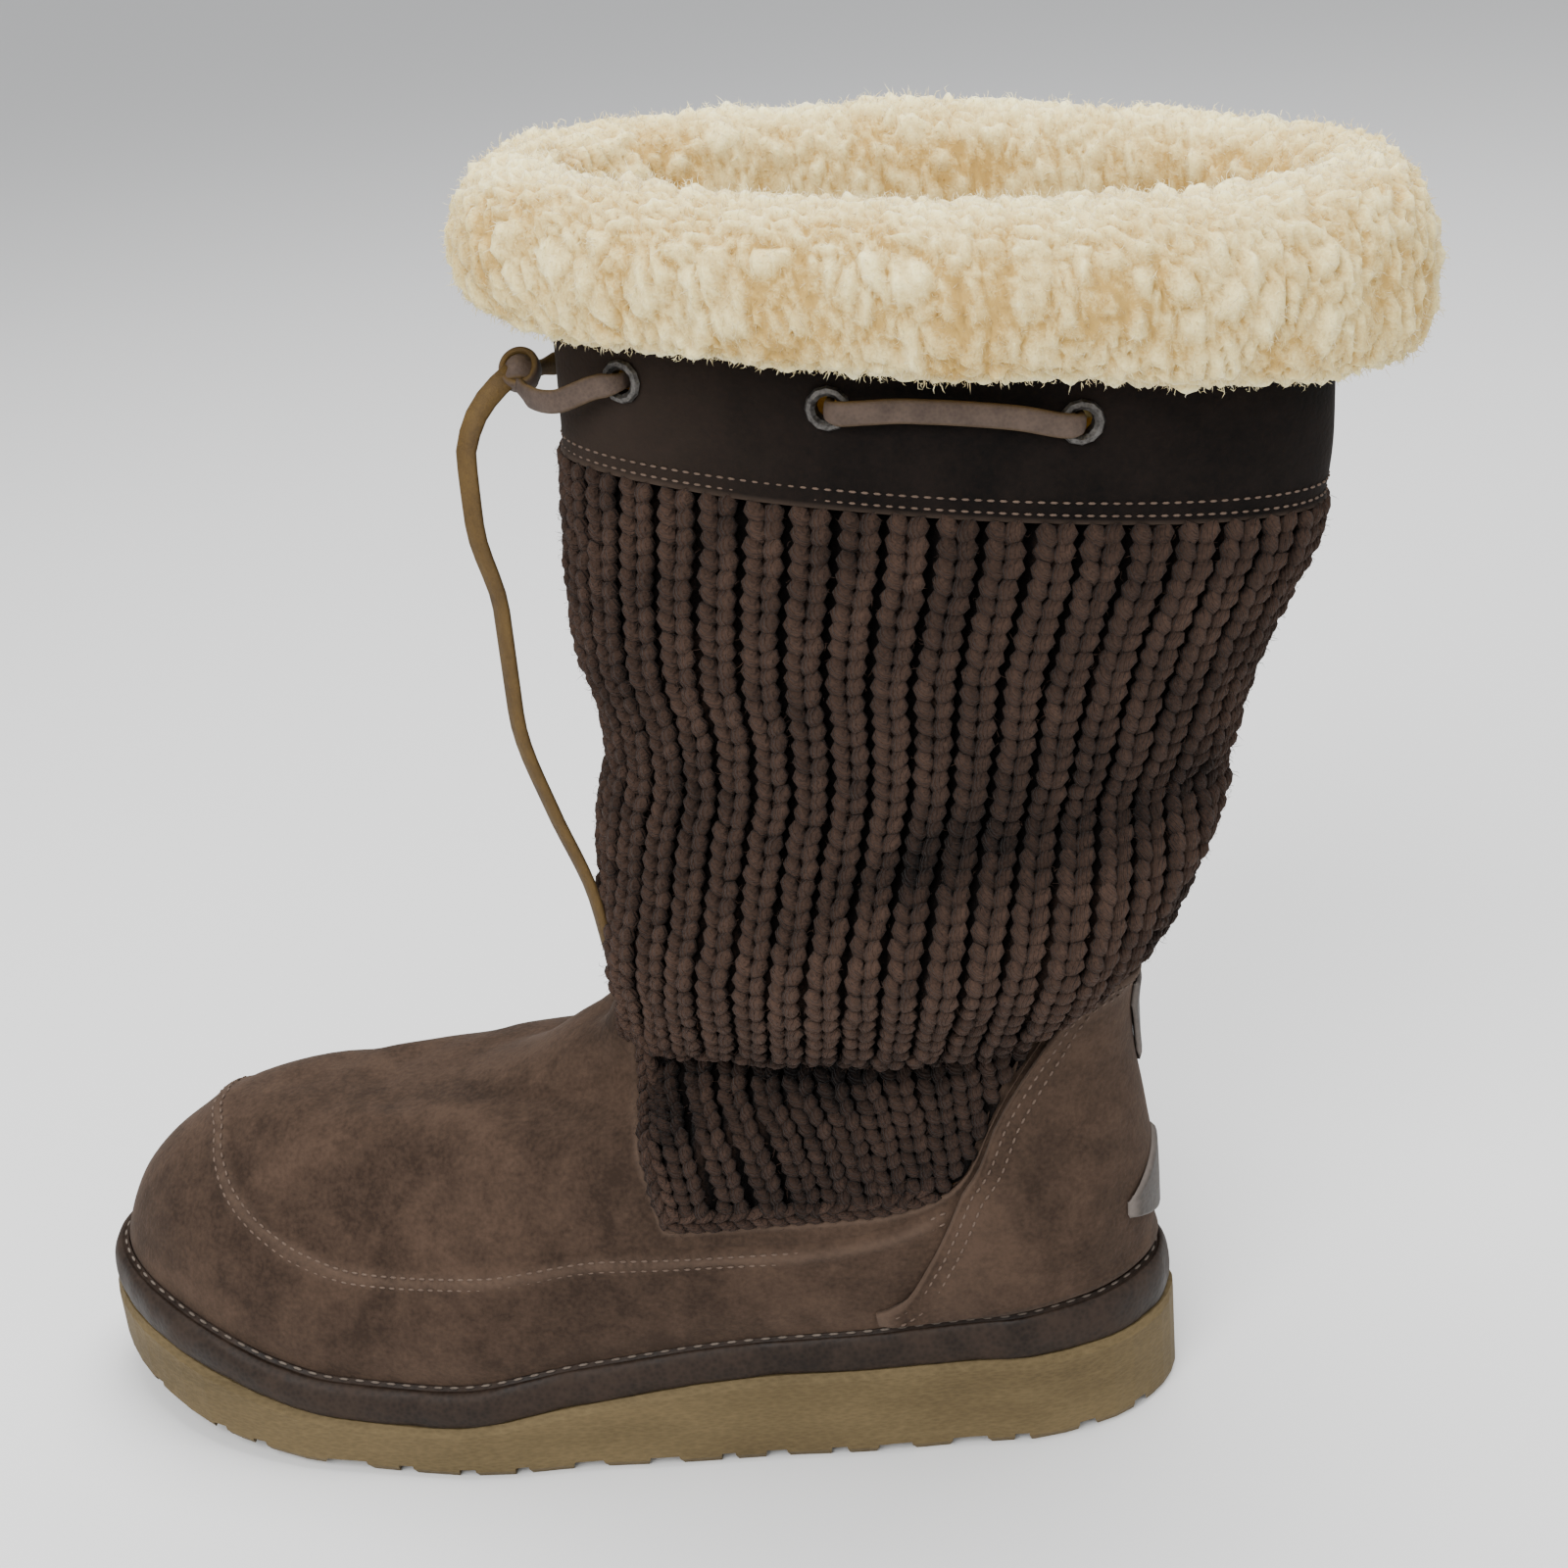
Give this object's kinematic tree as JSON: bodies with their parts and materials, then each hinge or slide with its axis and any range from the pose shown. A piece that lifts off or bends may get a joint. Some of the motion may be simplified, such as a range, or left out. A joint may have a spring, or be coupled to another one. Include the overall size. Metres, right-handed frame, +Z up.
{
  "type": "sweater boot",
  "caption": "Pull-on boot for the left foot: suede foot on a ribbed foam sole, slouched rib-knit shaft, laced collar band and turned-down fleece cuff.",
  "frame": {"origin": "on the floor, under the middle of the heel's tread", "axes": "+Z up, -X toward the toe, -Y toward the outer side of the foot"},
  "size_m": [0.3306, 0.1112, 0.3093],
  "materials": {
    "suede": "matte",
    "band_suede": "matte",
    "knit": "matte",
    "foam": "matte",
    "piping": "satin",
    "fleece": "matte",
    "lining": "matte",
    "grey_leather": "satin",
    "antique_metal": "satin",
    "lace_leather": "satin"
  },
  "bodies": {
    "root": {"back_stay": "grey_leather", "collar_band": "band_suede", "cuff": "fleece", "eyelet_inner_1": "antique_metal", "eyelet_inner_2": "antique_metal", "eyelet_inner_3": "antique_metal", "eyelet_outer_1": "antique_metal", "eyelet_outer_2": "antique_metal", "eyelet_outer_3": "antique_metal", "heel_badge": "grey_leather", "heel_counter": "suede", "insole": "lining", "lace_bar_inner": "lace_leather", "lace_bar_outer": "lace_leather", "lace_end": "lace_leather", "lace_knot": "lace_leather", "lace_tie_inner": "lace_leather", "lace_tie_outer": "lace_leather", "outsole": "foam", "shaft": "knit", "upper": "suede", "welt": "piping"}
  },
  "joints": []
}
